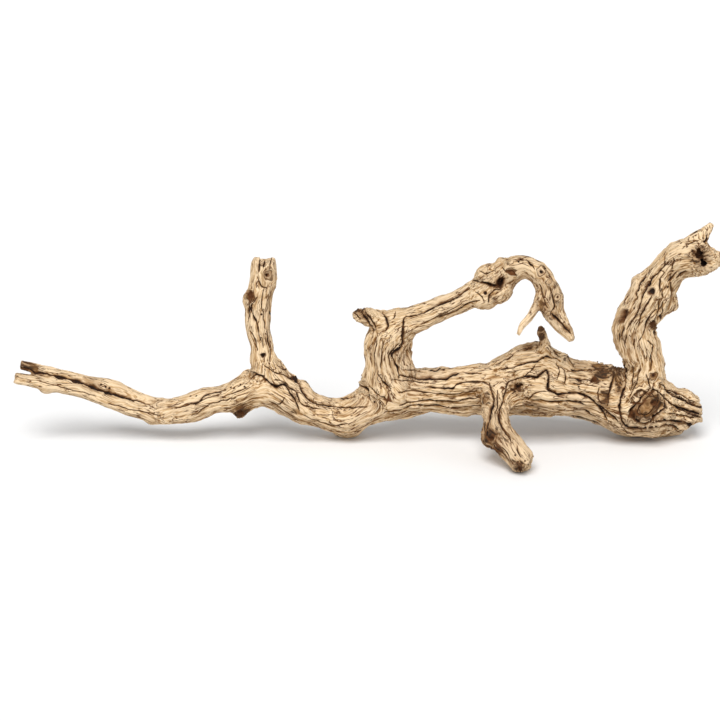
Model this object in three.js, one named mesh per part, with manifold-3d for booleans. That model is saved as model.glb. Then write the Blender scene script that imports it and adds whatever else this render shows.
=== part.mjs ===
// A weathered piece of grape vine wood, bleached and blasted clean of bark: a gnarled stem that
// lies along X with its root end at +X, two thin canes at its tip, an upright spur, a goose-necked
// arm, a thick curled neck at the root end and a prop leg that reaches forward to the ground.
// It is one piece of wood, so it is one closed solid. It stands on three places: the prop leg,
// the belly of the stem and the foot under the root end. Millimetres, +Z up, front towards -Y.
import * as THREE from "three";
import { mergeVertices } from "three/addons/utils/BufferGeometryUtils.js";
import Module from "manifold-3d";

const RING_SIDES = 12; // sides of the stem and of the stout limbs
const THIN_SIDES = 8; // sides of the canes and stubs
const STEP_LENGTH = 12; // distance between two rings along a limb
const FULLNESS = 1.03; // makes up for the flats of a ring with few sides
const LOBES = 3; // strands that show in a limb's cross-section
const LOBE_DEPTH = 0.045; // how far the strands stand out, as a share of the radius
const LOBE_TWIST = 0.011; // turn of the strands along a limb, in radians per millimetre
const BREAK_DEPTH = 0.28; // unevenness of a broken end, as a share of its radius
const FOOT_LEVEL = 0.6; // height in the stations at which the feet are worn flat
const OLD_WOOD = new THREE.Color(0.74, 0.6, 0.43);

// Each limb is a list of stations [x, y, z, radius] along its heart, from where it grows to its end.
const STEM = [
  [361, 6, 37, 13], [347, 6, 36, 20], [328, 6, 38, 27], [302, 5, 40, 33],
  [277, 4, 45, 35.5], [253, 3, 53, 31.5], [231, 2, 60, 30.5], [209, 1, 62.5, 32.5],
  [189, 0, 68.5, 38.5], [172, 0, 70.5, 38], [153, 0, 66, 32.5], [133, 0, 60.5, 28.5],
  [112, 0, 60.5, 26.5], [90, 0, 60, 24.6], [63, 0, 58, 23], [38, 1, 53, 24.5],
  [14, 2, 45, 23.5], [-5, 3, 36, 20.5], [-23, 4, 28, 20.5], [-38, 2, 29, 18.5],
  [-53, 0, 34, 17], [-67, -2, 39, 18.5], [-81, -3, 49, 20], [-96, -4, 59, 20.5],
  [-113, -4, 64, 20], [-131, -3, 59.5, 18], [-148, -2, 52, 16], [-165, -1, 48.5, 15],
  [-181, 0, 43.5, 15.8], [-196, 0, 38.3, 15.4], [-212, -1, 36, 13.5], [-227, -2, 34.5, 13],
  [-240, -3, 37, 9.5],
];
const LOWER_CANE = [
  [-211, -3, 36, 10.8], [-235, -4, 34, 9.8], [-260, -7, 42.5, 8.6], [-286, -10, 53, 7.8],
  [-311, -13, 64.7, 7.8], [-332, -16, 69.6, 7], [-344, -17, 71.9, 7.8], [-354, -18, 76, 7.4],
  [-379, -22, 81.5, 6.6],
];
const UPPER_CANE = [
  [-203, 4, 39.5, 8], [-227, 7, 41.5, 7], [-244, 7, 45, 7], [-261, 5, 52.5, 7.8],
  [-273, 4.5, 59, 9.2], [-286, 3, 63.5, 8.8], [-302, -1, 69, 7.2], [-316, -4, 75.3, 6.8],
  [-333, -7, 80.5, 6.2], [-354, -7, 86.5, 6], [-375, -8, 91.8, 5.6],
];
const SPUR = [
  [-94, -4, 60, 18], [-105, -4, 76, 18], [-111.5, -3, 91, 15.6], [-114.5, -1, 106, 12.5],
  [-116, 1, 117, 11.8], [-119, 3, 130, 13.2], [-118.5, 6, 145, 13.6], [-117, 8, 158, 14],
  [-114.5, 11, 170, 13.6], [-112.5, 14, 183, 13.4], [-112, 18, 202.5, 12.4],
];
const ARM = [
  [40, 0, 48, 22], [28, -1, 60, 28.5], [23.5, -2, 77, 27.5], [21.5, -3, 96, 24.5],
  [21.5, -4, 112, 24.5], [26, -6, 127, 24.5], [38, -8, 138.5, 18.6], [56, -10, 147, 14.3],
  [78, -12, 157, 12.6], [96, -15, 165, 12], [111, -18, 174, 14], [127, -21, 183.5, 17.5],
  [140, -24, 195.5, 16], [151, -27, 205, 13.6], [161, -29, 210.5, 12.6], [172.5, -32, 208, 11.6],
  [183, -35, 197.5, 11.8], [190, -37, 184, 12.4], [192.5, -39, 170, 12.6], [197, -41, 157, 10.2],
  [206.5, -43, 144.5, 7.8], [215, -45, 132, 4.2],
];
const NECK = [
  [319, 4, 24, 22], [305, -3, 44, 31], [298, -6, 62, 28], [297.5, -7, 81, 22.5],
  [296, -8, 97, 20.5], [290.5, -9, 113, 23], [284.5, -10, 130, 23], [285.5, -12, 147, 21],
  [297, -14, 164, 23.6], [304.5, -16, 179, 21.7], [312, -18, 194, 18.4], [320, -20, 207, 18],
  [330, -25, 216, 20.8], [342, -32, 221, 21], [352, -38, 222, 18.4],
];
const PROP_LEG = [
  [155, 0, 62, 16], [142, -14, 68, 16], [137, -28, 64, 14.7], [136, -42, 55, 14.2],
  [136, -54, 46, 14], [137, -64, 37, 15.2], [145, -74, 29, 15], [155, -84, 20, 14.6],
  [165.5, -94, 10, 14.4],
];
const FOOT = [
  [252, 4, 34, 12], [266, 9, 21, 10], [281, 12, 11, 9], [305, 14, 8, 9.4],
  [325, 14, 8, 9.2], [345, 12, 11, 5.8],
];
const ARM_ROOT_FLARE = [
  [25, -2, 78, 20], [6, 0, 58, 17], [-12, 2, 42, 13], [-32, 3, 35, 13],
];
const STEM_FOLD = [
  [137, -10, 70, 14], [153, -12, 84, 13], [172, -12, 93, 13], [190, -12, 90, 13],
  [204, -12, 76, 13], [213, -10, 60, 12],
];
const LEG_ROOT_LOBE = [
  [143, -24, 56, 13], [162, -27, 57, 12.5], [178, -26, 66, 9.5], [190, -22, 76, 5],
];
const ARM_STUB = [
  [18, -8, 139, 12.5], [7, -11, 145, 10.5], [-1, -14, 149.5, 8.4], [-7, -17, 150.5, 7.4],
  [-12, -18, 150, 6.4],
];
const NECK_HORN = [
  [328, -26, 223, 14], [337, -30, 233, 10.5], [346, -31, 242, 8.6], [352.5, -31, 249.5, 5.6],
  [357.5, -31, 257, 2.2],
];
const NECK_CHIN = [
  [343, -34, 222, 17], [354, -35, 220.5, 15], [364, -34, 219.5, 10.5], [374, -32, 219.5, 6],
];
const STEM_THORN = [
  [192, -6, 98, 11], [190, -6, 108, 8.2], [188, -7, 118, 6.4], [186, -7, 127, 4.2],
  [184, -8, 135, 1.4],
];
const ARM_SPLINTER = [
  [184, -42, 183, 8], [177, -44, 173, 5.6], [171, -47, 162, 4.4], [165, -49, 156, 4],
  [159, -51, 148.5, 3.5], [157, -52, 140.5, 2.7],
];
const STEM_BARB = [
  [-134, -2, 49, 15], [-137, -3, 40, 11], [-138, -3, 33, 6.5], [-138.5, -3, 28.5, 2.4],
];

// Burls, knots and stumps of lost twigs, each an ellipsoid [x, y, z, radii].
const LUMPS = [
  [126, -25, 196.5, 15, 14, 15], // the burl on the arm, upper lobe
  [123, -30, 175, 15.5, 14, 14], // lower lobe
  [141, -25, 208.5, 9.5, 10, 10], // crown
  [140, -34, 182, 12, 11, 12], // front roll
  [130, -66, 31, 12.5, 11, 13], // knee of the prop leg
  [19, -7, 138, 18, 13, 13], // corner where the arm turns out of its column
  [-23, 12, 14, 18, 14, 15], // belly of the stem, which touches the ground
  [-126.5, 3, 162, 8, 8, 9], // knot on the spur, lower
  [-110, 8, 184, 8, 8, 8], // knot on the spur, upper
  [-105, 11, 179, 7.5, 8, 12], // swelling on the spur
  [-70, 0, 65, 6, 7, 7], // stub on the stem
  [209, -3, 97, 7, 7, 7], // chip beside the thorn
  [-235, -4, 28, 8, 7, 7], // swelling under the canes
  [319, -15, 164, 10.5, 10, 11], // spur on the neck
  [275, -6, 158, 7, 8, 9], // shoulder of the neck
  [286, -13, 185, 8, 8, 8], // upper shoulder of the neck
  [264, -4, 76, 14, 13, 12], // fork of the stem and the neck
  [-346, -17, 68, 9, 7.5, 6.5], // swelling of the lower cane
  [-9, -18, 150.5, 6.6, 7, 7.6], // knob of the arm's stub
];

// Rot pockets and knot holes cut into the wood, each an ellipsoid [x, y, z, radii].
const HOLLOWS = [
  [343.5, -54, 229, 6, 12, 9], // the hollow in the neck's broken end, upper half
  [349, -53, 219, 5, 12, 8], // lower half
  [137, -49, 193, 4.5, 10, 9], // the cleft in the burl
];

const wasm = await Module();
wasm.setup();

// The closed surface of a three.js geometry as a manifold-3d solid.
function solidOf(geometry) {
  const bare = geometry.clone();
  bare.deleteAttribute("normal");
  bare.deleteAttribute("uv");
  const merged = mergeVertices(bare, 1e-4);
  return new wasm.Manifold(new wasm.Mesh({
    numProp: 3,
    vertProperties: new Float32Array(merged.attributes.position.array),
    triVerts: new Uint32Array(merged.index.array),
  }));
}

// A limb: a cylinder bent along the smooth line through its stations, with a lobed section that
// follows their radii and twists slowly. The far end is uneven, as broken wood is.
function limb(stations, sides = RING_SIDES) {
  const heart = new THREE.CatmullRomCurve3(stations.map(([x, y, z]) => new THREE.Vector3(x, y, z)));
  const girth = new THREE.SplineCurve(stations.map((s, i) => new THREE.Vector2(i, s[3])));
  const steps = Math.max(4, Math.round(heart.getLength() / STEP_LENGTH));

  // One frame for each ring, each turned from the last by no more than the line itself turns.
  const frames = [];
  const turn = new THREE.Quaternion();
  for (let i = 0; i <= steps; i++) {
    const tangent = heart.getTangent(i / steps);
    const last = frames[i - 1];
    const side = last ? last.side.clone() : new THREE.Vector3(0, 1, 0).cross(tangent).normalize();
    if (last) side.applyQuaternion(turn.setFromUnitVectors(last.tangent, tangent));
    const front = new THREE.Vector3().crossVectors(tangent, side);
    frames.push({ tangent, side, front });
  }

  const geometry = new THREE.CylinderGeometry(1, 1, 1, sides, steps);
  const position = geometry.attributes.position;
  const length = heart.getLength();
  for (let i = 0; i < position.count; i++) {
    const along = 0.5 + position.getY(i);
    const { tangent, side, front } = frames[Math.round(along * steps)];
    const out = Math.hypot(position.getX(i), position.getZ(i));
    const angle = Math.atan2(position.getX(i), position.getZ(i));
    const lobes = 1 + LOBE_DEPTH * Math.cos(LOBES * (angle + LOBE_TWIST * length * along));
    const radius = FULLNESS * girth.getPoint(along).y * out * lobes;
    const uneven = along === 1 ? BREAK_DEPTH * radius * Math.sin(2 * angle + 1) : 0;
    const p = heart.getPoint(along)
      .addScaledVector(side, radius * Math.cos(angle))
      .addScaledVector(front, radius * Math.sin(angle))
      .addScaledVector(tangent, uneven);
    position.setXYZ(i, p.x, p.y, p.z);
  }
  return solidOf(geometry);
}

function ellipsoid([x, y, z, rx, ry, rz]) {
  return solidOf(new THREE.SphereGeometry(1, 12, 8).scale(rx, ry, rz).translate(x, y, z));
}

const stout = [STEM, ARM, NECK, PROP_LEG, SPUR, ARM_ROOT_FLARE, STEM_FOLD];
const thin = [
  LOWER_CANE, UPPER_CANE, FOOT, LEG_ROOT_LOBE, ARM_STUB, NECK_HORN, NECK_CHIN,
  STEM_THORN, ARM_SPLINTER, STEM_BARB,
];
const grown = [
  ...stout.map((stations) => limb(stations)),
  ...thin.map((stations) => limb(stations, THIN_SIDES)),
  ...LUMPS.map(ellipsoid),
].reduce((wood, more) => wood.add(more));
const carved = HOLLOWS.map(ellipsoid).reduce((wood, hole) => wood.subtract(hole), grown);

// The feet are worn flat on one level.
const GROUND_SIZE = 1000;
const ground = new THREE.BoxGeometry(GROUND_SIZE, GROUND_SIZE, GROUND_SIZE)
  .translate(0, 0, FOOT_LEVEL - GROUND_SIZE / 2);
const wood = carved.subtract(solidOf(ground));

// The origin is the middle of the box around the wood, on the ground.
const { min, max } = wood.boundingBox();
const { vertProperties, triVerts } = wood.getMesh();
const geometry = new THREE.BufferGeometry()
  .setAttribute("position", new THREE.BufferAttribute(new Float32Array(vertProperties), 3))
  .setIndex(new THREE.BufferAttribute(new Uint32Array(triVerts), 1))
  .translate(-(min[0] + max[0]) / 2, -(min[1] + max[1]) / 2, -min[2]);
geometry.computeVertexNormals();

const driftwood = new THREE.Mesh(
  geometry,
  new THREE.MeshStandardMaterial({ color: OLD_WOOD, roughness: 0.85, metalness: 0 }),
);
driftwood.name = "driftwood";

export default new THREE.Group().add(driftwood);
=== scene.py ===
import math

import bmesh
import bpy
import numpy as np
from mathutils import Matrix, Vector, noise


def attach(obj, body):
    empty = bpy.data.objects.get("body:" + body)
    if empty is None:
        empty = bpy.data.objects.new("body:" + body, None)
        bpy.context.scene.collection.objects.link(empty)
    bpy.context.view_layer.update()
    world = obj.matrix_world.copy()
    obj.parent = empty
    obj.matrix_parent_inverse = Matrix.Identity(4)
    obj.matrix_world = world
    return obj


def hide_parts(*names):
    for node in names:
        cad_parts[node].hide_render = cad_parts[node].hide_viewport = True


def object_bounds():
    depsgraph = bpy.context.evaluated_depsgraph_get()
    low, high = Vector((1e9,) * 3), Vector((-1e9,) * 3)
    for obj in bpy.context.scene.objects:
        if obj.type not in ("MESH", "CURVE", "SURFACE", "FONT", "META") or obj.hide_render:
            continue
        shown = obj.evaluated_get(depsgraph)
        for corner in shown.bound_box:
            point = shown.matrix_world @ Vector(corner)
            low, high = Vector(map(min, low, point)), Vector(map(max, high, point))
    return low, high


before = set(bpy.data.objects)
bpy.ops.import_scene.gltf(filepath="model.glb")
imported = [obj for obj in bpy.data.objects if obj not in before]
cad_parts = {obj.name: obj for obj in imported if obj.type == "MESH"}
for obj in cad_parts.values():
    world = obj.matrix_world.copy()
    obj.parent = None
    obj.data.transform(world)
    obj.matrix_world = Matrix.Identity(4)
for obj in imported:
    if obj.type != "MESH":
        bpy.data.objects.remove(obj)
cad_low, cad_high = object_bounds()
MM = 0.001


# ---------------------------------------------------------------- the view of the wood
# The branch is shown the way such pieces are sold: standing on its own three feet, seen from its
# front and a little from above, through a long lens from a good distance.
VIEW_TILT = math.radians(20)
VIEW_DISTANCE = 2.5
VIEW_TARGET = (cad_low + cad_high) / 2 + Vector((-0.0061, 0.0313, -0.0345))
view_back = Vector((0, -math.cos(VIEW_TILT), math.sin(VIEW_TILT)))
view_right = Vector((1, 0, 0))
view_up = Vector((0, math.sin(VIEW_TILT), math.cos(VIEW_TILT)))

camera = bpy.data.objects.new("camera", bpy.data.cameras.new("camera"))
camera.data.lens = 116
camera.data.sensor_width = 36
camera.location = VIEW_TARGET + view_back * VIEW_DISTANCE
camera.rotation_euler = (math.pi / 2 - VIEW_TILT, 0, 0)
bpy.context.scene.collection.objects.link(camera)
bpy.context.scene.camera = camera


# ---------------------------------------------------------------- the body of the wood
# One old grape vine, grown in one piece and dried until it is as light as cork. Its bark is gone,
# so what shows is the wood itself. The solid limbs are skinned afresh and smoothed into each other.
SKIN_CELL = 2.0 * MM
FLOW_RADIUS = 12 * MM  # limbs thicker than this are smoothed fully

# The heart line of each limb, from the root side outwards: [x, y, z, radius] in millimetres from
# a datum under the stem. A limb starts inside the one it grows from, where their fibres part.
DATUM = np.array((3.0, 33.4, -0.6))
LIMBS = {
    "stem": (None, [
        (361, 6, 37, 13), (345, 6, 37, 21), (328, 6, 38, 27), (302, 5, 40, 33), (277, 4, 45, 35),
        (253, 3, 52, 33), (231, 2, 59, 32), (209, 1, 62, 33), (189, 0, 67, 36), (172, 0, 70, 36),
        (153, 0, 66, 32), (133, 0, 61, 27), (112, 0, 61, 25), (90, 0, 60, 23), (63, 0, 58, 22),
        (38, 1, 53, 24), (14, 2, 45, 23), (-5, 3, 36, 20), (-23, 4, 28, 20), (-38, 2, 29, 18),
        (-53, 0, 34, 17), (-67, -2, 39, 18), (-81, -3, 49, 20), (-96, -4, 59, 20),
        (-113, -4, 64, 20), (-131, -3, 59, 18), (-148, -2, 52, 16), (-165, -1, 48, 15),
        (-181, 0, 44, 15), (-196, 0, 39, 14), (-212, -1, 36, 12), (-227, -4, 33, 10),
        (-241, -5, 36, 9.4), (-260, -7, 42, 8.6), (-286, -10, 53, 7.8), (-311, -13, 65, 7.8),
        (-332, -16, 70, 7), (-344, -17, 72, 7.8), (-354, -18, 76, 7.4), (-382, -22, 82, 6.6),
    ]),
    "upper_cane": ("stem", [
        (-180, 0, 44, 14), (-203, 4, 40, 9), (-227, 7, 41.5, 7), (-244, 7, 45, 7),
        (-261, 5, 52.5, 7.8), (-273, 4.5, 59, 9.2), (-286, 3, 63.5, 8.8), (-302, -1, 69, 7.2),
        (-316, -4, 75.3, 6.8), (-333, -7, 80.5, 6.2), (-354, -7, 86.5, 6), (-378, -8, 92.5, 5.6),
    ]),
    "spur": ("stem", [
        (-50, 0, 34, 17), (-70, -2, 44, 18), (-85, -3, 57, 18), (-97, -4, 68, 18),
        (-106, -4, 80, 17), (-111.5, -3, 93, 15.5), (-114.5, -1, 106, 12.5), (-116, 1, 117, 11.6),
        (-119.5, 3, 130, 13), (-119.5, 6, 145, 13), (-118.5, 8, 158, 13.6), (-115.5, 11, 170, 13.2),
        (-112.5, 14, 183, 13.4), (-112, 18, 206, 12.4),
    ]),
    "arm": ("stem", [
        (150, 0, 66, 31), (112, 0, 62, 25), (82, 0, 61, 24), (58, -1, 63, 25), (36, -1, 72, 27),
        (22, -2, 88, 27), (19, -3, 102, 26), (20, -4, 114, 25), (25, -6, 127, 24),
        (38, -8, 138.5, 18.6), (56, -10, 147, 14.3), (78, -12, 157, 12.6), (96, -15, 165, 12),
        (111, -18, 174, 14), (127, -21, 183.5, 18), (140, -24, 196, 16), (151, -27, 206, 12.6),
        (161, -29, 211.5, 11.4), (173.5, -32, 209.5, 11.2), (184, -35, 198.5, 11.8),
        (191, -37, 184, 12.3), (193, -39, 170, 12.4), (196, -41, 157, 9.6),
        (205.5, -43, 145, 6.8), (217, -46, 128, 3.4),
    ]),
    "stub": ("arm", [
        (22, -4, 104, 23), (20, -6, 121, 15), (14, -10, 135, 10), (5, -13, 143, 8.6),
        (-4, -16, 149, 7), (-16, -18, 151, 7),
    ]),
    "splinter": ("arm", [
        (190, -38, 190, 12), (184, -42, 183, 8), (177, -44, 173, 5.6), (171, -47, 162, 4.4),
        (165, -49, 156, 4), (159, -51, 148.5, 3.5), (156.5, -52, 139, 2.7),
    ]),
    "prop_leg": ("stem", [
        (220, 1, 60, 31), (190, -2, 66, 31), (166, -8, 68, 24), (149, -15, 68, 17),
        (139, -26, 65, 15), (136, -40, 56, 14.2), (136, -54, 46, 14), (137, -64, 37, 15.2),
        (145, -74, 29, 15), (154, -84, 20, 14.6), (167, -97, 8, 13.8),
    ]),
    "neck": ("stem", [
        (361, 6, 37, 13), (344, 4, 38, 22), (325, 1, 43, 28), (307, -3, 53, 31),
        (300, -6, 67, 28), (298, -7, 83, 23.5), (295, -8, 97, 22), (290, -9, 113, 23.6),
        (284.5, -10, 130, 23), (285.5, -12, 147, 21), (297, -14, 164, 23.6),
        (304.5, -16, 179, 21.7), (312, -18, 194, 18.4), (320, -20, 207, 18), (331, -25, 216, 20.8),
        (344, -32, 221, 21.2), (356, -38, 222, 18.4),
    ]),
    "horn": ("neck", [
        (320, -20, 207, 18), (328, -26, 222, 14), (337, -30, 233, 10.5), (346, -31, 242, 8.6),
        (352.5, -31, 249.5, 5.6), (359, -31, 259, 2.2),
    ]),
    "thorn": ("stem", [
        (205, -2, 80, 25), (193, -6, 97, 11), (190, -6, 108, 8.2), (188, -7, 118, 6.4),
        (186, -7, 127, 4.2), (184, -8, 137, 1.4),
    ]),
}


def smooth_line(stations, step):
    """A line of close points that runs smoothly through the stations."""
    p = np.array(stations, float)
    p = np.vstack([2 * p[0] - p[1], p, 2 * p[-1] - p[-2]])
    stretches = []
    for a, b, c, d in zip(p, p[1:], p[2:], p[3:]):
        count = max(1, round(float(np.linalg.norm((c - b)[:3])) / step))
        t = np.linspace(0, 1, count, endpoint=False)[:, None]
        bend = (2 * a - 5 * b + 4 * c - d) * t**2 + (3 * b - a - 3 * c + d) * t**3
        stretches.append(0.5 * (2 * b + (c - a) * t + bend))
    return np.vstack([*stretches, p[-2:-1]])


def settled(thing):
    """The mesh of an object with its modifiers worked in."""
    graph = bpy.context.evaluated_depsgraph_get()
    mesh = bpy.data.meshes.new_from_object(thing.evaluated_get(graph))
    thing.modifiers.clear()
    thing.data = mesh
    return mesh


def points_of(mesh):
    flat = np.empty(len(mesh.vertices) * 3, np.float32)
    mesh.vertices.foreach_get("co", flat)
    return flat.reshape(-1, 3).astype(float) / MM


def normals_of(mesh):
    flat = np.empty(len(mesh.vertices) * 3, np.float32)
    mesh.vertex_normals.foreach_get("vector", flat)
    return flat.reshape(-1, 3).astype(float)


def place_points(mesh, points):
    mesh.vertices.foreach_set("co", (points * MM).astype(np.float32).ravel())
    mesh.update()


def edge_pairs(mesh):
    flat = np.empty(len(mesh.edges) * 2, np.int32)
    mesh.edges.foreach_get("vertices", flat)
    return flat.reshape(-1, 2)


def spread_out(values, pairs, share, rounds):
    """Each value drawn towards the mean of its neighbours, again and again."""
    size = len(values)
    links = np.bincount(pairs.ravel(), minlength=size)
    for _ in range(rounds):
        around = np.empty_like(values)
        for k in range(values.shape[1]):
            column = values[:, k]
            around[:, k] = np.bincount(pairs[:, 0], column[pairs[:, 1]], size)
            around[:, k] += np.bincount(pairs[:, 1], column[pairs[:, 0]], size)
        values = values + share * (around / links[:, None] - values)
    return values


hearts = {name: smooth_line(line, 5) for name, (_, line) in LIMBS.items()}
for heart in hearts.values():
    heart[:, :3] += DATUM

solid = bmesh.new()
solid.from_mesh(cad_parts["driftwood"].data)
bmesh.ops.remove_doubles(solid, verts=solid.verts, dist=1e-6)
wood_mesh = bpy.data.meshes.new("weathered_wood")
solid.to_mesh(wood_mesh)
solid.free()
wood = bpy.data.objects.new("weathered_wood", wood_mesh)
bpy.context.scene.collection.objects.link(wood)

skin = wood.modifiers.new("skin", "REMESH")
skin.mode = "VOXEL"
skin.voxel_size = SKIN_CELL
mesh = settled(wood)

# The flats of the solid are smoothed out. What the limbs lose by it they get back evenly.
points = points_of(mesh)
normals = normals_of(mesh)
pairs = edge_pairs(mesh)
all_hearts = np.vstack(list(hearts.values())).astype(np.float32)


def nearness_to(centres, radii, here):
    """How many radii away each point is from each centre, squared."""
    here = here.astype(np.float32)
    squared = (here**2).sum(1)[:, None] + (centres**2).sum(1) - 2 * here @ centres.T
    return np.maximum(squared, 0) / radii**2


girth = np.empty(len(points))
for start in range(0, len(points), 8000):
    nearness = nearness_to(all_hearts[:, :3], all_hearts[:, 3], points[start:start + 8000])
    girth[start:start + 8000] = all_hearts[nearness.argmin(1), 3]
ease = np.clip((girth * MM - 2.5 * MM) / FLOW_RADIUS, 0.04, 1)[:, None]
smooth = spread_out(points, pairs, 0.5 * ease, 24)
lost = ((points - smooth) * normals).sum(1, keepdims=True)
points = smooth + normals * spread_out(lost, pairs, 0.5, 24)
place_points(mesh, points)

finer = wood.modifiers.new("finer", "SUBSURF")
finer.levels = 1
finer.render_levels = 1
mesh = settled(wood)
points = points_of(mesh)
normals = normals_of(mesh)


# ---------------------------------------------------------------- the run of the grain
# A vine's fibres run from the root along the stem and turn off into each limb. Every point of the
# surface gets its place in them: how far along they have come, and where across it lies.
def with_fibres(name):
    """A limb's heart with the side direction and the way along that it takes from its parent."""
    centre = hearts[name][:, :3]
    ahead = np.gradient(centre, axis=0)
    ahead /= np.linalg.norm(ahead, axis=1, keepdims=True)
    parent = LIMBS[name][0]
    if parent is None:
        place = np.zeros(3)
        side = np.array((0.0, 1.0, 0.0))
    else:
        from_centre, from_ahead, from_side, from_place, _ = fibres[parent]
        i = ((from_centre - centre[0])**2).sum(1).argmin()
        across = np.cross(from_ahead[i], from_side[i])
        step = centre[0] - from_centre[i]
        offset = (step @ from_ahead[i], step @ from_side[i], step @ across)
        place = from_place[i] + np.array(offset)
        side = from_side[i]
    sides = []
    for a in ahead:
        side = side - a * (side @ a)
        side = side / np.linalg.norm(side)
        sides.append(side)
    run = np.concatenate([[0], np.linalg.norm(np.diff(centre, axis=0), axis=1).cumsum()])
    places = place + np.stack([run, 0 * run, 0 * run], 1)
    return centre, ahead, np.array(sides), places, hearts[name][:, 3]


fibres = {}
for limb_name in LIMBS:
    fibres[limb_name] = with_fibres(limb_name)
centres, aheads, sides, places, radii = (np.concatenate(part).astype(np.float32)
                                         for part in zip(*fibres.values()))
acrosses = np.cross(aheads, sides)
BLEND = 1.5  # how sharply one limb's grain gives way to the next one's

grain = np.empty_like(points)
girth = np.empty(len(points))
for start in range(0, len(points), 4000):
    here = points[start:start + 4000]
    nearness = nearness_to(centres, radii, here)
    weight = np.exp(-BLEND * (nearness - nearness.min(1, keepdims=True)))
    weight /= weight.sum(1, keepdims=True)
    girth[start:start + 4000] = weight @ radii
    for k, axes in enumerate((aheads, sides, acrosses)):
        fixed = places[:, k] - (axes * centres).sum(1)
        turned = weight @ np.column_stack([axes, fixed])
        grain[start:start + 4000, k] = (turned[:, :3] * here).sum(1) + turned[:, 3]


# Living wood never grows quite straight, so the fibres waver a little on their way.
WAVER = 1.9
wave_ends = [(p, q) for p, q in zip((points / 15).tolist(), (points / 34 + 40).tolist())]
waver = np.array([(noise.noise(p) + noise.noise(q)) for p, q in wave_ends])
grain[:, 1] += WAVER * waver
grain[:, 2] += WAVER * np.array([noise.noise(p) for p in (points / 15 + 80).tolist()])


# ---------------------------------------------------------------- the front, as it is seen
# The front of the branch has cracks and knots of its own, each at its own place. Their places are
# across and up the branch's front elevation, in millimetres, so the front is laid out flat first.
VIEW_CELL = 2.5
REACH = 9

to_eye = np.array(camera.location) / MM - points
eye_distance = np.linalg.norm(to_eye, axis=1)
facing = (normals * to_eye).sum(1) / eye_distance
aim = np.array(VIEW_TARGET) / MM
from_aim = points - aim
depth = VIEW_DISTANCE / MM - from_aim @ np.array(view_back)
flat = np.stack([from_aim @ np.array(view_right), from_aim @ np.array(view_up)], 1)
flat = flat / depth[:, None] * VIEW_DISTANCE / MM + (aim[0], aim[2])

cells = np.floor((flat - flat.min(0)) / VIEW_CELL).astype(int)
cells = cells[:, 0] * (cells[:, 1].max() + 1) + cells[:, 1]
foremost = np.full(cells.max() + 1, np.inf)
np.minimum.at(foremost, cells, depth)
in_front = (depth < foremost[cells] + REACH) & (facing > 0.02)
shown = np.clip(facing / 0.3, 0, 1) * in_front


# ---------------------------------------------------------------- knots and worm holes
# Where a twig or a tendril once grew, its base is left as a knot with rings, or has rotted out and
# left a hole. The fibres of the limb part and run round it. Worms have drilled the small holes.
FRONT_KNOTS = [  # across, up, radius in mm, and whether it is ringed or open
    (-105, 186, 5, "ring"), (-124, 164, 4.4, "ring"), (188, 189, 4.4, "ring"),
    (197, 179, 3, "ring"), (207, 162, 4, "ring"), (207, 162, 1.3, "open"), (310, 78, 1.7, "open"),
    (135, 10, 7, "ring"), (304, 46, 13, "ring"), (310, 77, 4.5, "ring"), (289, 36, 4.5, "ring"),
    (309, 168, 3.2, "open"), (127, 51, 6, "ring"), (129, 168, 1.8, "open"), (15, 75, 3.6, "ring"),
    (156, 190, 4.5, "ring"), (-111, 99, 2.2, "open"), (167, 203, 2, "open"),
    (189, 189, 1.6, "open"), (247, 74, 2.2, "open"),
]
POCKETS = [  # rot pockets: across, up, half width, half height, lean in degrees, depth in mm
    (360, 209, 3.3, 6.5, -12, 7), (363, 200, 2.4, 5.5, -26, 6), (353, 212, 2.4, 1.3, 20, 3),
    (145, 178, 3.2, 6, 32, 7), (163, 66, 5.5, 2.5, -24, 5), (277, 142, 2.2, 7, 16, 6),
    (310, 134, 3.2, 2.6, 20, 5), (311, 125, 1.7, 3.2, 0, 4), (-124, 165, 2.2, 3.6, -10, 5),
    (311, 48, 3.4, 2.8, 20, 5), (289, 36, 2.2, 1.8, 0, 4), (135, 10, 2.6, 2.2, 0, 4),
    (-135, 38, 3.6, 2.2, 20, 4), (166, -21, 2.4, 1.6, 20, 3), (245, 73, 3, 1.8, 0, 3),
    (-106, 186, 2.2, 1.8, 30, 3), (-5, 149, 1.2, 3.6, 40, 2.5),
]
BACK_KNOTS = [  # x, y, z, radius in mm, and whether it is ringed or open
    (250, 68, 60, 11, "ring"), (92, 58, 66, 6, "ring"), (-20, 58, 42, 3.2, "open"),
    (300, 48, 152, 7, "ring"), (24, 55, 108, 8, "ring"), (-112, 50, 140, 2.6, "open"),
    (-160, 48, 52, 4, "ring"), (176, 70, 78, 8, "ring"), (176, 70, 79, 3.2, "open"),
    (132, 28, 190, 3, "open"), (330, 30, 214, 6, "ring"), (66, 40, 152, 2.4, "open"),
    (-62, 50, 44, 4.5, "ring"), (215, 30, 92, 6, "ring"), (310, 44, 8, 3.6, "open"),
    (140, 0, 36, 4, "ring"), (180, 12, 204, 4, "ring"), (-290, 44, 55, 3, "ring"),
    (283, 46, 110, 3, "open"),
]
WORM_HOLES = [  # across, up
    (-285, 68), (-280, 66), (-276, 64), (-183, 56), (-189, 56), (-135, 68), (-131, 66), (-145, 65),
    (-142, 64), (-112, 144), (-111, 99), (9, 127), (9, 49), (16, 49), (340, 221), (346, 217),
    (326, 173), (165, 200), (309, 134), (310, 124), (161, -8), (172, -14), (164, -15), (170, -22),
    (176, -18), (158, -17), (60, 92), (-60, 52), (230, 66), (288, 150), (-250, 50), (330, 190),
]
WORM_RADIUS = 1.25

ragged = np.array([noise.noise(p) for p in (points / 4.5 + 20).tolist()])
knot = np.full(len(points), 9.0)
hole = np.full(len(points), 9.0)
knot_relief = np.zeros(len(points))
front_index = np.flatnonzero(in_front)


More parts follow.
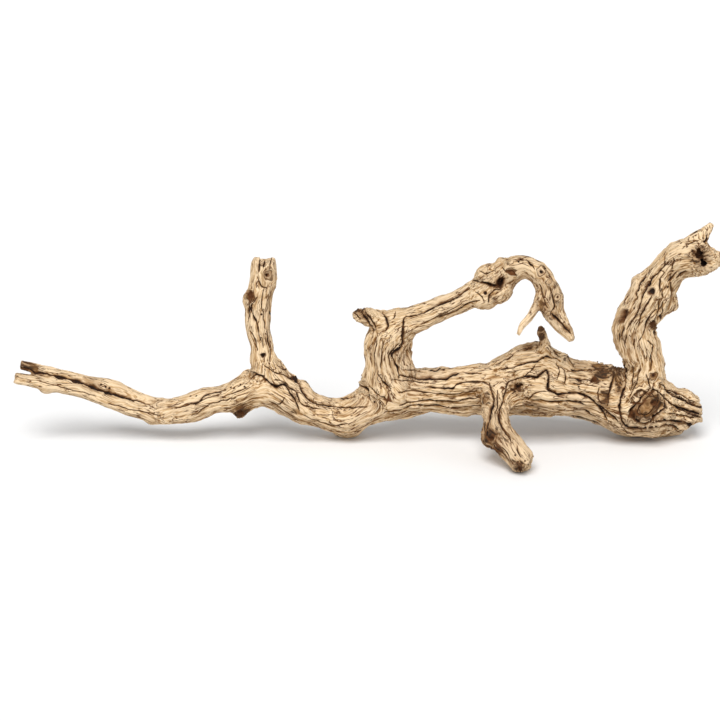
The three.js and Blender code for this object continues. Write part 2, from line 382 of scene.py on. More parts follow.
def nearest_in_front(across, up):
    offset = flat[front_index] - (across, up)
    return front_index[(offset**2).sum(1).argmin()]


def grow_knot(i, radius, kind):
    """Parts the grain round a knot, and raises its rim and sinks its middle."""
    ratio = np.linalg.norm(points - points[i], axis=1) / radius
    near = np.flatnonzero(ratio < 5)
    r = ratio[near] * (1 + 0.55 * ragged[near]) + 0.2 * ragged[near]
    aside = grain[near] - grain[i]
    aside[:, 0] = 0
    grain[near] -= aside * (np.exp(-(r / 3)**2) / np.maximum(r, 1)**2)[:, None]
    rim = 0.2 * radius * np.exp(-((r - 1.25) / 0.4)**2)
    if kind == "open":
        knot_relief[near] += rim - 1.1 * radius * np.clip(1 - r**2, 0, 1)**0.6
        hole[near] = np.minimum(hole[near], r)
    else:
        groove = 0.16 * radius * np.exp(-((r - 0.95) / 0.14)**2)
        knot_relief[near] += rim - groove - 0.2 * radius * np.clip(1 - r**2, 0, 1)
        knot[near] = np.minimum(knot[near], r)


for across, up, radius, kind in FRONT_KNOTS:
    grow_knot(nearest_in_front(across, up), radius, kind)
for across, up, half_width, half_height, lean, deep in POCKETS:
    offset = flat - (across, up)
    offset += 0.8 * half_width * np.stack([ragged, np.roll(ragged, 7)], 1)
    c, s = math.cos(math.radians(lean)), math.sin(math.radians(lean))
    right, above = offset[:, 0] * c - offset[:, 1] * s, offset[:, 0] * s + offset[:, 1] * c
    ratio = np.hypot(right / half_width, above / half_height)
    ratio[~in_front | (ratio > 5)] = 9
    knot_relief -= deep * np.clip(1.1 - ratio, 0, 1)**0.55
    knot_relief += 0.8 * np.exp(-((ratio - 1.5) / 0.35)**2)
    hole = np.minimum(hole, ratio)
for x, y, z, radius, kind in BACK_KNOTS:
    grow_knot(((points - (x, y, z))**2).sum(1).argmin(), radius, kind)
for across, up in WORM_HOLES:
    i = nearest_in_front(across, up)
    ratio = np.linalg.norm(points - points[i], axis=1) / WORM_RADIUS
    hole = np.minimum(hole, ratio)
    knot_relief -= 0.9 * np.clip(1.3 - ratio, 0, 1)


# Between the knots the limbs bulge and draw in where they carried weight or were rubbed by a wire.
BULGES = [  # across, up, reach and height in mm, below zero where the wood draws in
    (277, 161, 8, -2), (269, 107, 9, -3.6), (276, 94, 7, -3), (317, 140, 6, -3.5),
    (351, 184, 8, -2.5), (317, 103, 9, -2.5), (336, 68, 11, -3), (360, 51, 9, -3.5),
    (363, 38, 7, -3.5), (256, 21, 14, -3), (220, 35, 14, -2.4), (183, 33, 12, -2), (159, 37, 7, -3),
    (119, 34, 8, -3), (130, 149, 7, -2.5), (153, 160, 6, -3), (207, 179, 8, -2.2),
    (212, 150, 7, -1.6), (149, -9, 6, -3), (125, 21, 7, 2.6), (358, 234, 8, 1.4), (368, 224, 5, 3),
    (157, 107, 11, -2), (189, 123, 7, 1.8), (4, 22, 10, -4), (26, 30, 12, -4), (47, 35, 12, -3.5),
    (69, 37, 12, -2.5), (47, 103, 7, -3), (-2, 78, 8, 4), (0, 131, 6, 3), (-13, 143, 5, 2.6),
    (-1, 150, 6, 1.6), (-129, 84, 7, 4.5), (-76, 77, 6, 2.4), (-119, 206, 4, -2.5),
    (338, 67, 9, -1.5), (317, 139, 5, -2), (-107, 42, 8, -2.6), (-60, 24, 8, -2.5),
    (-160, 38, 7, -2.6), (-163, 66, 9, -1.4), (-243, 30, 8, -1.6), (-136, 34, 5, 2),
    (-44, 56, 10, 1.4), (42, 152, 9, -2), (145, 204, 5, 2),
]
bulge = np.zeros(len(points))
for across, up, reach, height in BULGES:
    i = nearest_in_front(across, up)
    bulge += height * np.exp(-((points - points[i])**2).sum(1) / reach**2)


# ---------------------------------------------------------------- the ropy strands
# A vine's stem is not round: its strands swell between the fibre rows, and blasting with grit has
# eaten the soft wood between them. Long twisting ribs are left, with checks where the wood shrank.
def along_grain(along, across, seed):
    """Smooth noise drawn out along the fibres, about -0.7 to 0.7."""
    scaled = grain / (along, across, across) + 11.7 * seed
    return np.array([noise.noise(p) for p in scaled.tolist()])


def ramp(value, low, high):
    t = np.clip((value - low) / (high - low), 0, 1)
    return t * t * (3 - 2 * t)


stoutness = np.clip(girth / 24, 0.3, 1.1)
swell = (along_grain(40, 22, 1) * 2.6 + along_grain(15, 13, 9) * 1.7) * stoutness
ribs = (np.abs(along_grain(130, 11, 2)) - 0.2) * (4.6 - 1.2 * shown) * stoutness
cords = (np.abs(along_grain(60, 5.0, 3)) - 0.2) * 2.1 * stoutness
threads = (np.abs(along_grain(30, 2.4, 4)) - 0.2) * 1.5 * stoutness**0.5

check = along_grain(70, 5.6, 5)
check_width = 0.004 + 0.06 * ramp(along_grain(34, 6, 6), 0.02, 0.36) * (1 - 0.72 * shown)
split = along_grain(230, 19, 7)
split_width = 0.004 + 0.034 * ramp(along_grain(70, 12, 8), 0.02, 0.3) * (1 - 0.85 * shown)
checks = 1.4 * stoutness * np.clip(1 - np.abs(check) / check_width, 0, 1)
checks *= ramp(check_width, 0.015, 0.05)
splits = 3.6 * stoutness * np.clip(1 - np.abs(split) / (1.3 * split_width), 0, 1)
splits *= ramp(split_width, 0.01, 0.04)


# ---------------------------------------------------------------- the great cracks
# As the vine dried it split along its grain. The largest cracks run beside the ribs, open widest
# in their middle and close to a hair at both ends, dark brown inside where dirt and rot stay.
CRACKS = [  # width in mm, then points across and up the front
    # the canes and the tip of the stem
    (1.7, [(-374, 86), (-351, 81), (-319, 74), (-300, 69), (-287, 63), (-260, 55), (-233, 47)]),
    (0.9, [(-213, 44), (-200, 44), (-190, 47), (-179, 51), (-171, 58), (-152, 62)]),
    (0.6, [(-183, 47), (-171, 54), (-159, 57)]),
    (0.7, [(-187, 35), (-179, 38), (-170, 46), (-157, 50), (-141, 54)]),
    (0.5, [(-351, 72), (-319, 63), (-291, 56)]),
    (0.5, [(-276, 47), (-249, 40), (-222, 35)]),
    # the spur
    (1.5, [(-113, 206), (-115, 198), (-116, 190)]),
    (1.5, [(-108, 205), (-110, 194)]),
    (1.3, [(-102, 205), (-103, 193)]),
    (1.0, [(-117, 184), (-113, 175), (-107, 172)]),
    (0.9, [(-123, 160), (-125, 154), (-126, 137)]),
    (1.0, [(-117, 162), (-123, 152), (-122, 144), (-116, 130), (-114, 115)]),
    (0.8, [(-124, 126), (-120, 118), (-117, 106)]),
    (0.7, [(-112, 119), (-110, 109)]),
    (0.9, [(-106, 126), (-104, 111), (-102, 103), (-103, 94)]),
    (0.6, [(-110, 170), (-112, 157), (-110, 142), (-108, 129)]),
    (0.5, [(-102, 168), (-103, 154), (-102, 138)]),
    # the stem by the spur
    (1.8, [(-125, 76), (-118, 79), (-112, 76), (-98, 66), (-89, 68), (-84, 64), (-76, 51),
           (-72, 41)]),
    (0.8, [(-124, 83), (-117, 79), (-110, 77)]),
    (1.1, [(-98, 73), (-88, 71), (-82, 66), (-75, 59), (-68, 46), (-60, 44), (-51, 42)]),
    (1.4, [(-108, 88), (-98, 82), (-82, 77), (-71, 68), (-65, 57), (-52, 47), (-23, 44), (1, 44)]),
    (1.1, [(-103, 50), (-98, 46), (-92, 43)]),
    (0.8, [(-87, 54), (-90, 49), (-95, 47)]),
    (0.6, [(-90, 86), (-75, 80), (-62, 69), (-50, 58), (-30, 54), (-11, 55)]),
    (0.6, [(-66, 35), (-52, 29), (-37, 24), (-19, 26)]),
    (0.5, [(-163, 70), (-149, 73), (-136, 77)]),
    (0.6, [(-155, 54), (-140, 60), (-129, 64)]),
    # the column and the arm
    (1.8, [(58, 144), (47, 142), (41, 140), (40, 121), (41, 114), (37, 107), (29, 100), (31, 92),
           (35, 84), (36, 76)]),
    (1.0, [(36, 111), (28, 103), (25, 97), (27, 87)]),
    (1.6, [(58, 144), (80, 155), (91, 159), (104, 167), (111, 172)]),
    (1.1, [(80, 140), (96, 146), (112, 156), (122, 159)]),
    (0.6, [(64, 135), (85, 145), (104, 155)]),
    (0.9, [(13, 82), (15, 75), (27, 64)]),
    (1.1, [(19, 146), (24, 134), (21, 126)]),
    (0.9, [(32, 147), (29, 139)]),
    (1.7, [(-5, 147), (1, 139), (9, 126)]),
    (1.3, [(0, 147), (5, 140), (11, 129)]),
    (0.8, [(-12, 146), (-9, 141), (-6, 139)]),
    (0.6, [(13, 121), (11, 105), (9, 89)]),
    (0.5, [(19, 116), (17, 99), (16, 86)]),
    (1.2, [(-6, 68), (2, 61), (4, 52)]),
    (1.1, [(5, 65), (15, 57), (23, 50)]),
    # the stem under the arm
    (1.7, [(36, 78), (50, 76), (69, 76), (85, 75), (93, 79), (104, 82), (125, 80)]),
    (0.9, [(31, 73), (47, 72), (67, 71)]),
    (1.7, [(64, 66), (91, 64), (101, 69), (118, 71), (133, 69)]),
    (1.1, [(37, 46), (50, 49), (69, 50), (91, 48), (107, 52), (122, 54)]),
    (0.9, [(21, 38), (37, 41), (50, 45), (69, 45), (96, 42), (124, 44)]),
    (0.6, [(35, 60), (53, 61), (74, 58), (96, 58), (119, 62)]),
    (0.5, [(42, 84), (64, 83), (85, 85)]),
    # the burl and the hook
    (2.0, [(116, 180), (127, 177), (141, 174), (146, 177), (148, 184)]),
    (1.3, [(132, 156), (133, 162), (137, 169), (144, 171)]),
    (1.2, [(148, 194), (152, 189), (157, 191), (162, 186)]),
    (0.9, [(123, 191), (130, 188), (138, 191)]),
    (0.8, [(119, 168), (125, 163), (127, 157)]),
    (1.2, [(174, 202), (178, 198), (182, 193)]),
    (1.2, [(199, 172), (202, 159), (204, 152), (199, 144)]),
    (2.4, [(201, 144), (207, 138), (215, 130), (221, 123)]),
    (0.8, [(188, 176), (191, 163), (196, 151)]),
    (0.7, [(166, 203), (177, 207), (188, 200)]),
    (0.7, [(193, 194), (198, 187), (202, 179)]),
    # the prop leg
    (1.9, [(134, 69), (136, 60), (138, 51), (135, 41), (132, 30), (129, 17), (134, 7)]),
    (1.5, [(152, 68), (148, 51), (144, 38), (144, 30), (149, 19), (155, 12), (157, 4)]),
    (0.9, [(142, 60), (142, 47), (139, 34)]),
    (1.1, [(163, 1), (165, -4), (167, -9)]),
    (0.8, [(148, 0), (153, -9), (157, -16)]),
    (0.7, [(138, 3), (146, -5), (152, -13)]),
    # the stem over the leg
    (2.3, [(150, 64), (157, 73), (177, 77), (184, 76), (195, 84), (197, 77), (197, 65), (200, 61),
           (209, 57), (222, 59), (233, 57), (241, 54), (249, 46), (257, 35), (261, 28)]),
    (1.1, [(182, 89), (179, 84), (172, 77)]),
    (1.5, [(144, 84), (157, 86), (168, 90), (177, 93), (185, 94), (190, 98), (198, 99), (206, 97)]),
    (1.1, [(175, 51), (180, 56), (188, 60), (195, 61)]),
    (0.9, [(188, 51), (198, 49), (220, 50), (237, 47)]),
    (0.9, [(225, 42), (241, 36), (253, 29)]),
    (0.9, [(207, 92), (209, 84), (207, 74)]),
    (0.8, [(215, 82), (216, 70)]),
    (0.7, [(140, 91), (153, 97), (166, 104), (178, 109)]),
    (0.6, [(161, 82), (175, 85), (188, 88)]),
    (0.8, [(198, 110), (205, 103), (209, 98)]),
    # the stem by the neck
    (1.2, [(219, 75), (231, 74), (245, 72)]),
    (1.0, [(225, 70), (236, 69), (248, 66)]),
    (1.4, [(268, 78), (265, 68), (262, 57), (261, 45)]),
    (0.8, [(252, 64), (250, 56), (254, 47)]),
    (0.7, [(222, 84), (237, 83), (252, 84)]),
    (2.0, [(279, 92), (280, 73), (279, 64), (275, 54), (274, 41), (275, 32), (280, 24), (287, 21),
           (301, 21), (311, 22), (322, 24), (333, 22), (340, 18)]),
    (1.3, [(250, 46), (261, 37), (271, 30), (281, 16)]),
    # the root end
    (1.7, [(306, 64), (293, 49), (286, 41), (287, 34), (301, 27), (311, 35), (321, 46), (320, 55),
           (309, 65)]),
    (0.9, [(308, 59), (299, 48), (293, 40), (301, 34), (309, 41), (315, 49), (308, 59)]),
    (1.0, [(302, 79), (304, 73), (307, 64)]),
    (1.0, [(304, 115), (310, 111), (309, 100), (307, 85)]),
    (1.9, [(322, 68), (330, 59), (344, 51), (360, 44), (376, 38)]),
    (1.6, [(322, 57), (330, 47), (349, 40), (362, 36), (378, 33)]),
    (2.6, [(312, 30), (322, 30), (332, 28), (350, 25), (366, 23)]),
    (1.5, [(334, 44), (348, 37), (362, 32)]),
    (0.8, [(317, 69), (326, 64), (338, 58), (352, 50)]),
    (0.7, [(295, 84), (291, 69), (285, 56)]),
    (0.7, [(288, 88), (288, 73), (285, 62)]),
    (0.7, [(326, 38), (338, 35), (354, 32)]),
    # the neck
    (1.7, [(326, 200), (311, 185), (301, 170), (295, 154), (291, 143), (281, 128)]),
    (1.1, [(306, 191), (295, 175), (290, 161), (287, 155)]),
    (0.8, [(322, 205), (321, 198)]),
    (0.8, [(331, 204), (330, 193)]),
    (1.1, [(317, 191), (322, 189), (317, 181), (317, 169)]),
    (1.0, [(334, 188), (330, 183), (326, 179)]),
    (0.8, [(319, 171), (321, 161)]),
    (1.5, [(329, 177), (330, 168), (329, 158)]),
    (1.4, [(308, 163), (301, 151), (297, 143), (294, 131)]),
    (1.2, [(313, 148), (306, 141), (301, 127), (295, 115)]),
    (0.9, [(277, 129), (276, 125), (275, 120)]),
    (0.8, [(272, 125), (273, 113)]),
    (0.9, [(281, 119), (279, 114), (280, 107)]),
    (0.8, [(289, 116), (289, 107)]),
    (1.0, [(368, 229), (366, 220)]),
    (1.0, [(336, 184), (340, 187), (345, 189)]),
    (0.8, [(317, 159), (316, 146), (311, 135)]),
    (0.7, [(321, 156), (320, 143), (316, 131)]),
    (0.7, [(346, 228), (354, 232), (361, 237)]),
    (0.7, [(341, 215), (349, 221), (358, 224)]),
]
WANDER = 1.2  # how far a crack strays from its line, in mm
CRACK_REACH = 8  # how far from a crack its distance is kept, in mm

spots = flat[front_index]
stray = [(noise.noise((a / 6, b / 6, 0)), noise.noise((a / 6, b / 6, 9)),
          noise.noise((a / 9, b / 9, 5)) + 0.6 * noise.noise((a / 2.8, b / 2.8, 3)))
         for a, b in spots.tolist()]
stray = np.array(stray)
spots = spots + WANDER * stray[:, :2]
crack_off = np.full(len(spots), float(CRACK_REACH))
crack_side = np.ones(len(spots))
crack_width = np.full(len(spots), 0.05)
for width, line in CRACKS:
    course = smooth_line(line, 3)
    middle, half = (course.max(0) + course.min(0)) / 2, np.ptp(course, axis=0) / 2
    close = np.flatnonzero((np.abs(spots - middle) < half + CRACK_REACH).all(1))
    for k, (p, q) in enumerate(zip(course, course[1:])):
        run = q - p
        length = np.linalg.norm(run)
        offset = spots[close] - (p + q) / 2
        near = close[np.hypot(offset[:, 0], offset[:, 1]) < CRACK_REACH + length / 2]
        offset = spots[near] - p
        t = np.clip(offset @ run / length**2, 0, 1)
        off = np.linalg.norm(offset - t[:, None] * run, axis=1)
        side = np.sign(run[0] * offset[:, 1] - run[1] * offset[:, 0])
        part = (k + t) / (len(course) - 1)
        closer = off < crack_off[near]
        chosen = near[closer]
        crack_off[chosen] = off[closer]
        crack_side[chosen] = side[closer]
        crack_width[chosen] = width * (0.25 + 0.75 * np.sin(np.pi * part[closer])**0.6)

crack = np.zeros((len(points), 3))
crack[:, 0] = CRACK_REACH
crack[:, 1] = CRACK_REACH
crack[:, 2] = 0.05
crack_width = 0.54 * crack_width * np.clip(1 + 1.1 * stray[:, 2], 0.55, 1.5)
crack_width = np.where(crack_off < CRACK_REACH, np.maximum(crack_width, 0.33), 0.05)
crack[front_index] = np.stack([crack_off * crack_side, crack_off, crack_width], 1)
opened = np.clip(1 - crack[:, 1] / (0.5 + crack[:, 2]), 0, 1)**0.7
valley = np.exp(-(crack[:, 1] / 2.6)**2)
gash = ((0.4 + 2.8 * crack[:, 2]) * opened + (0.15 + 0.8 * crack[:, 2]) * valley) * shown
gash = np.minimum(gash, 0.5 * girth)
crack[:, 2] *= np.clip(shown * 3, 0.02, 1)


# ---------------------------------------------------------------- the finished surface
# Everything above is worked into the skin at once, ribs outwards and cracks inwards. The feet stay
# worn flat where the branch stands, and the mesh is thinned where it is smooth.
MOST_TRIANGLES = 192000
FOOT_HEIGHT = 5.0

ENDS = [  # across, up, reach in mm: where the wood is broken off and its fibres stand ragged
    (362, 40, 20), (345, 22, 12), (-112, 207, 9), (368, 212, 14), (358, 206, 13), (168, -20, 10),
    (-380, 78, 5), (-374, 90, 5), (221, 124, 6), (-12, 149, 7), (-135, 36, 7),
]
end = np.zeros(len(points))
for across, up, reach in ENDS:
    end = np.maximum(end, np.clip(1.3 - np.linalg.norm(flat - (across, up), axis=1) / reach, 0, 1))
raggedness = end * (along_grain(50, 5.5, 12) * 5.5 + ragged * 1.6) * np.clip(girth / 16, 0.25, 1)

relief = swell + bulge + ribs + cords + threads + 0.5 * ragged * stoutness
relief += raggedness + knot_relief - checks - splits - gash
on_feet = ramp(points[:, 2], 0.4, FOOT_HEIGHT)
tops = points + normals * (relief * on_feet)[:, None]
tops[:, 2] = np.maximum(tops[:, 2], 0)
place_points(mesh, tops)


def keep_on_surface(name, values):
    """Stores three numbers for each point, for the material to read."""
    layer = mesh.attributes.new(name, "FLOAT_VECTOR", "POINT")
    layer.data.foreach_set("vector", values.astype(np.float32).ravel())


STAINS_AND_SHADE = [  # across, up, radius in mm and depth of tone: rests of bark and of rot, and painted shade under the fold of the stem by the prop leg, in the fork by the neck and by the hook
    (255, 81, 8, 1), (251, 87, 6, 1), (249, 75, 5, 0.9), (270, 80, 6, 1), (269, 88, 8, 1),
    (273, 69, 4.5, 0.9), (272, 61, 4, 0.9), (258, 57, 5, 0.9), (257, 49, 5, 0.9),
    (279, 144, 5, 0.7), (274, 137, 4, 0.8), (155, 190, 6, 0.3), (145, 178, 7, 0.7),
    (134, 9, 11, 0.8), (130, 20, 8, 0.6), (141, -2, 7, 0.75), (-134, 38, 8, 1), (309, 132, 4, 0.8),
    (163, 65, 8, 0.6), (360, 206, 11, 0.6), (188, 120, 5, 1), (189, 127, 4, 1), (186, 112, 4, 0.7),
    (-367, 88, 8, 0.8), (-357, 84, 5, 0.7), (-374, 90, 5, 0.9), (166, -20, 6, 0.8),
    (158, -16, 4, 0.5), (303, 43, 13, 0.42), (148, 190, 26, 0.26), (196, 168, 26, 0.32),
    (140, 22, 30, 0.28), (290, 37, 6, 0.8), (312, 50, 7, 0.9), (308, 57, 5, 0.7), (299, 40, 6, 0.6),
    (-6, 149, 6, 0.7), (-2, 143, 5, 0.6), (191, 150, 8, 0.6), (203, 143, 5, 0.6), (-77, 39, 4, 0.4),
    (217, 128, 5, 0.6), (128, 90, 4, 0.3), (-124, 164, 6, 0.6), (-105, 186, 6, 0.4),
    (180, 44, 10, 0.45), (165, 40, 7, 0.4), (128, 52, 7, 0.6), (116, 60, 8, 0.4),
    (136, 165, 6, 0.4), (170, 205, 8, 0.35), (175, 109, 5, 0.8), (232, 88, 9, 0.4),
    (246, 82, 7, 0.5), (215, 128, 5, 0.4), (330, 187, 4, 0.5), (-294, 68, 9, 0.4),
    (-378, 78, 5, 0.4), (277, 120, 5, 0.4), (287, 118, 6, 0.3), (14, 127, 6, 0.35),
    (310, 77, 5, 0.5),
]
stain_and_shade = np.zeros(len(points))
for across, up, radius, tone in STAINS_AND_SHADE:
    off = np.linalg.norm(flat - (across, up), axis=1) / radius
    stain_and_shade = np.maximum(stain_and_shade, tone * np.clip(1.6 - off, 0, 1) * (shown > 0))


# Painted shade: the hollows and the side facing down get a darker tone than the ribs and the top,
# and the cords and threads get a lighter one.
eased = spread_out(tops, edge_pairs(mesh), 0.6, 36)
relief_and_painted_shade = ((tops - eased) * normals).sum(1)
relief_and_painted_shade += 0.35 * spread_out(normals, edge_pairs(mesh), 0.6, 10)[:, 2]
relief_and_painted_shade += cords * 0.35 + threads * 0.6
keep_on_surface("fibre_place", grain)
keep_on_surface("crack_line", crack)
keep_on_surface("check_line", np.stack([check, check_width, split], 1))
# The third of these numbers is the painted shade of the hollows and undersides, with the cords and
# threads.
keep_on_surface("marks_and_painted_shade", np.stack([knot, hole, relief_and_painted_shade], 1))
keep_on_surface("wear_and_shade", np.stack([stain_and_shade, split_width, stoutness], 1))

trim = bmesh.new()
trim.from_mesh(mesh)
bmesh.ops.triangulate(trim, faces=trim.faces)
trim.to_mesh(mesh)
trim.free()
thinner = wood.modifiers.new("thinner", "DECIMATE")
thinner.ratio = min(1, MOST_TRIANGLES / len(mesh.polygons))
mesh = settled(wood)
mesh.name = "weathered_wood"
mesh.shade_smooth()
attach(wood, "root")
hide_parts("driftwood")


# ---------------------------------------------------------------- the look of dry vine wood
# Dead vine wood bleaches to a pale straw tan on its ribs and stays brown in its furrows; the brown
# in its hollows and on its undersides is also painted shade. Its cracks and knot holes are almost
# black, with a rusty edge, and it has no shine at all.
def linear(red, green, blue):
    """A colour given in everyday 0 to 255 values."""
    shades = [c / 255 for c in (red, green, blue)]
    return [c / 12.92 if c <= 0.04045 else ((c + 0.055) / 1.055)**2.4 for c in shades] + [1]


finish = bpy.data.materials.new("dry_vine_wood")
finish.use_nodes = True
nodes = finish.node_tree.nodes
wire = finish.node_tree.links.new
surface = nodes["Principled BSDF"]


def wired(node, *inputs):
    for socket, source in zip(node.inputs, inputs):
        if isinstance(source, bpy.types.NodeSocket):
            wire(source, socket)
        elif source is not None:
            socket.default_value = source
    return node.outputs[0]


def stored(name):
    """The three numbers that the mesh holds under this name."""
    read = nodes.new("ShaderNodeAttribute")
    read.attribute_name = name
    parts = nodes.new("ShaderNodeSeparateXYZ")
    wire(read.outputs["Vector"], parts.inputs[0])
    return read.outputs["Vector"], parts.outputs


def sum_of(kind, a, b=None):
    node = nodes.new("ShaderNodeMath")
    node.operation = kind
    return wired(node, a, b)


def rise(value, low, high, out_low=0.0, out_high=1.0):
    """Turns a value between low and high into one between out_low and out_high, smoothly."""
    node = nodes.new("ShaderNodeMapRange")
    node.interpolation_type = "SMOOTHSTEP"
    return wired(node, value, low, high, out_low, out_high)


def fibre_noise(place, along, across, detail=3.0):
    """Noise drawn out along the fibres, with sizes in millimetres."""
    stretch = nodes.new("ShaderNodeVectorMath")
    stretch.operation = "MULTIPLY"
    wired(stretch, place, (1 / along, 1 / across, 1 / across))
    node = nodes.new("ShaderNodeTexNoise")
    node.inputs["Scale"].default_value = 1
    node.inputs["Detail"].default_value = detail
    wire(stretch.outputs[0], node.inputs["Vector"])
    return node.outputs["Fac"]


def blend(share, below, above):
    node = nodes.new("ShaderNodeMix")
    node.data_type = "RGBA"
    sources = ((node.inputs[0], share), (node.inputs[6], below), (node.inputs[7], above))
    for socket, source in sources:
        if isinstance(source, bpy.types.NodeSocket):
            wire(source, socket)
        else:
            socket.default_value = source
    return node.outputs[2]


STRAW = linear(221, 195, 159)
TAN = linear(187, 153, 110)
FURROW = linear(126, 88, 46)
RUST = linear(90, 53, 24)
BARK = linear(54, 31, 15)
PITCH = linear(26, 13, 6)
GREY = linear(178, 155, 130)

place, _ = stored("fibre_place")
_, crack_parts = stored("crack_line")
_, check_parts = stored("check_line")
_, marks_and_shade_parts = stored("marks_and_painted_shade")
_, wear_and_shade_parts = stored("wear_and_shade")

streak = fibre_noise(place, 22, 1.35, 4.0)
band = fibre_noise(place, 70, 4.5)
patch = fibre_noise(place, 55, 30, 2.0)
speck = fibre_noise(place, 3.5, 0.8, 2.0)
flake = fibre_noise(place, 11, 3.0, 3.0)
hair = fibre_noise(place, 30, 2.6, 2.0)
hair_patch = fibre_noise(place, 24, 9, 2.0)

# Bleached ribs and brown furrows, streaked by the fibres; the darker tone in the hollows and on the
# undersides is painted shade.
height = rise(marks_and_shade_parts[2], -1.5, 1.0)
streaks = rise(streak, 0.34, 0.66, -0.5, 0.42)
bands = rise(band, 0.3, 0.7, -0.14, 0.14)
tone = sum_of("ADD", sum_of("ADD", height, streaks), bands)
colour = blend(rise(tone, -0.05, 0.5), FURROW, TAN)
colour = blend(rise(tone, 0.35, 1.0), colour, STRAW)
colour = blend(rise(patch, 0.5, 0.75, 0.0, 0.3), colour, GREY)

# Rings in the knots.
ring_wave = sum_of("SINE", sum_of("MULTIPLY", sum_of("ADD", marks_and_shade_parts[0], streak), 19.0))
ringed = sum_of("MULTIPLY", rise(ring_wave, 0.0, 0.9, 0.12, 0.6), rise(marks_and_shade_parts[0], 1.1, 0.9))
colour = blend(ringed, colour, RUST)
outline = rise(sum_of("ABSOLUTE", sum_of("SUBTRACT", marks_and_shade_parts[0], 0.97)), 0.16, 0.04, 0.0, 0.8)
colour = blend(outline, colour, BARK)
colour = blend(rise(marks_and_shade_parts[0], 0.3, 0.1, 0.0, 0.85), colour, BARK)

# Rests of bark, in the places that the blasting missed, and painted shade where the listed stains
# lie under the fold of the stem, in the fork by the neck and by the hook.
colour = blend(rise(wear_and_shade_parts[0], 0.05, 0.7, 0.0, 0.7), colour, FURROW)
bark_and_shade_patch = sum_of("ADD", wear_and_shade_parts[0], rise(flake, 0.3, 0.7, -0.45, 0.45))
bark_and_shade_patch = sum_of("MULTIPLY", rise(bark_and_shade_patch, 0.5, 0.8), rise(wear_and_shade_parts[0], 0.1, 0.3))
mottle = sum_of("ADD", sum_of("MULTIPLY", streak, 0.6), sum_of("MULTIPLY", speck, 0.4))
bark = blend(rise(mottle, 0.47, 0.62), PITCH, RUST)
bark = blend(rise(hair_patch, 0.52, 0.7, 0.0, 0.8), bark, FURROW)
colour = blend(sum_of("MULTIPLY", bark_and_shade_patch, 0.9), colour, bark)

# The cracks: brown painted shade in the valley either side of each great crack, rusty shoulders and
# black bottoms.
crack_reach = sum_of("MAXIMUM", sum_of("ABSOLUTE", crack_parts[0]),
                     sum_of("SUBTRACT", crack_parts[1], 1.0))
crack_share = sum_of("DIVIDE", crack_reach, crack_parts[2])
check_share = sum_of("DIVIDE", sum_of("ABSOLUTE", check_parts[0]), check_parts[1])
split_share = sum_of("DIVIDE", sum_of("ABSOLUTE", check_parts[2]), wear_and_shade_parts[1])
checked = rise(check_parts[1], 0.015, 0.05)
parted = rise(wear_and_shade_parts[1], 0.008, 0.03)
# Painted shade: a brown band in the sunk valley on both sides of the great cracks.
colour = blend(rise(crack_share, 3.4, 1.0, 0.0, 0.4), colour, FURROW)
colour = blend(rise(crack_share, 2.0, 0.9, 0.0, 0.7), colour, RUST)
colour = blend(sum_of("MULTIPLY", rise(check_share, 1.8, 0.7, 0.0, 0.5), checked), colour, RUST)
colour = blend(sum_of("MULTIPLY", rise(split_share, 1.9, 0.8, 0.0, 0.55), parted), colour, RUST)
colour = blend(sum_of("MULTIPLY", rise(check_share, 0.9, 0.4, 0.0, 0.8), checked), colour, PITCH)
colour = blend(sum_of("MULTIPLY", rise(split_share, 0.95, 0.5, 0.0, 0.9), parted), colour, PITCH)
colour = blend(rise(crack_share, 1.05, 0.75, 0.0, 0.97), colour, PITCH)
hairline = rise(sum_of("ABSOLUTE", sum_of("SUBTRACT", hair, 0.5)), 0.038, 0.012)
hairline = sum_of("MULTIPLY", hairline, rise(hair_patch, 0.4, 0.56, 0.22, 1.0))
colour = blend(hairline, colour, RUST)
colour = blend(rise(marks_and_shade_parts[1], 1.5, 1.0, 0.0, 0.6), colour, RUST)
rotten = sum_of("ADD", flake, sum_of("MULTIPLY", marks_and_shade_parts[1], 0.35))
rotten = sum_of("ADD", rotten, sum_of("MULTIPLY", wear_and_shade_parts[0], 0.3))
inside = blend(rise(rotten, 0.72, 0.98), PITCH, RUST)
colour = blend(rise(marks_and_shade_parts[1], 1.1, 0.8, 0.0, 0.97), colour, inside)
colour = blend(rise(speck, 0.66, 0.76, 0.0, 0.35), colour, RUST)
wire(colour, surface.inputs["Base Color"])

dryness = rise(tone, 0.0, 1.0, 0.78, 0.92)
wire(dryness, surface.inputs["Roughness"])
surface.inputs["Specular IOR Level"].default_value = 0.25

fibre_height = sum_of("ADD", sum_of("MULTIPLY", streak, 1.0), sum_of("MULTIPLY", speck, 0.35))
fibre_height = sum_of("SUBTRACT", fibre_height, sum_of("MULTIPLY", hairline, 0.5))
raised = nodes.new("ShaderNodeBump")
raised.inputs["Strength"].default_value = 1.0
raised.inputs["Distance"].default_value = 0.95 * MM
wire(fibre_height, raised.inputs["Height"])
wire(raised.outputs[0], surface.inputs["Normal"])
mesh.materials.clear()
mesh.materials.append(finish)


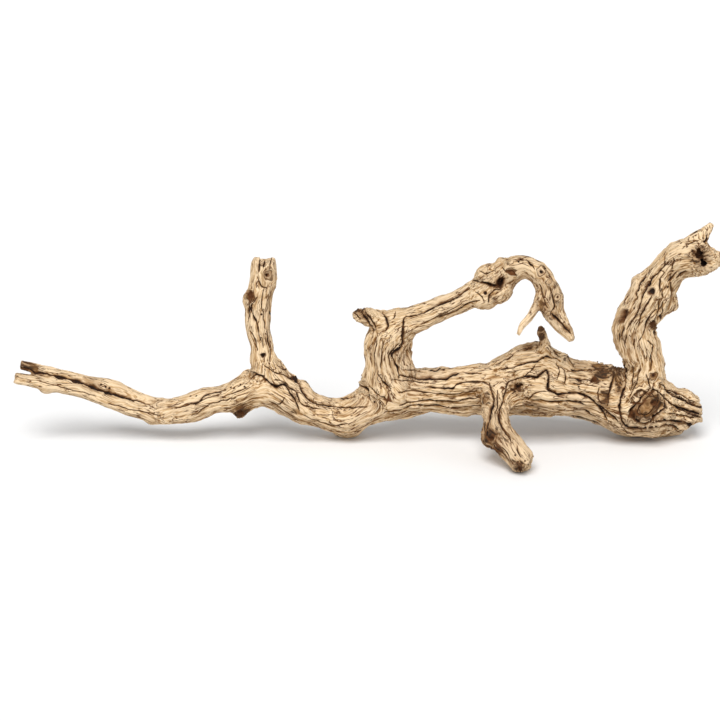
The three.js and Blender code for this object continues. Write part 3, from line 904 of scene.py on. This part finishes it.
# ---------------------------------------------------------------- the studio
# A pale seamless floor under an even sky that is brightest low down, like white paper walls all
# round. One large soft lamp stands above the front left and a weaker one to the right, so that the
# furrows keep their shadows.
floor_form = bmesh.new()
bmesh.ops.create_grid(floor_form, x_segments=1, y_segments=1, size=8)
floor_mesh = bpy.data.meshes.new("floor")
floor_form.to_mesh(floor_mesh)
floor_form.free()
floor = bpy.data.objects.new("floor", floor_mesh)
bpy.context.scene.collection.objects.link(floor)
paper = bpy.data.materials.new("white_paper")
paper.use_nodes = True
paper.node_tree.nodes["Principled BSDF"].inputs["Base Color"].default_value = (0.8, 0.8, 0.8, 1)
paper.node_tree.nodes["Principled BSDF"].inputs["Roughness"].default_value = 0.9
floor_mesh.materials.append(paper)

sky = bpy.data.worlds.new("even_sky")
sky.use_nodes = True
sky.node_tree.nodes["Background"].inputs["Color"].default_value = (1, 1, 1, 1)
direction = sky.node_tree.nodes.new("ShaderNodeTexCoord")
direction_parts = sky.node_tree.nodes.new("ShaderNodeSeparateXYZ")
sky_level = sky.node_tree.nodes.new("ShaderNodeMapRange")
sky_level.interpolation_type = "SMOOTHSTEP"
for socket, value in zip(list(sky_level.inputs)[1:5], (0.13, 0.35, 0.97, 0.48)):
    socket.default_value = value
sky.node_tree.links.new(direction.outputs["Generated"], direction_parts.inputs[0])
sky.node_tree.links.new(direction_parts.outputs[2], sky_level.inputs[0])
sky.node_tree.links.new(sky_level.outputs[0], sky.node_tree.nodes["Background"].inputs["Strength"])
bpy.context.scene.world = sky


def soft_lamp(name, toward, power, spread):
    """A broad lamp far off in the direction given, as wide as the spread in degrees."""
    lamp = bpy.data.objects.new(name, bpy.data.lights.new(name, "SUN"))
    lamp.data.energy = power
    lamp.data.angle = math.radians(spread)
    lamp.location = toward
    lamp.rotation_euler = Vector(toward).to_track_quat("Z", "Y").to_euler()
    bpy.context.scene.collection.objects.link(lamp)


soft_lamp("key", (-0.3, -1.3, 1.9), 2.95, 34)
soft_lamp("fill", (1.8, -1.0, 1.0), 0.35, 40)
bpy.context.scene.view_settings.view_transform = "Standard"
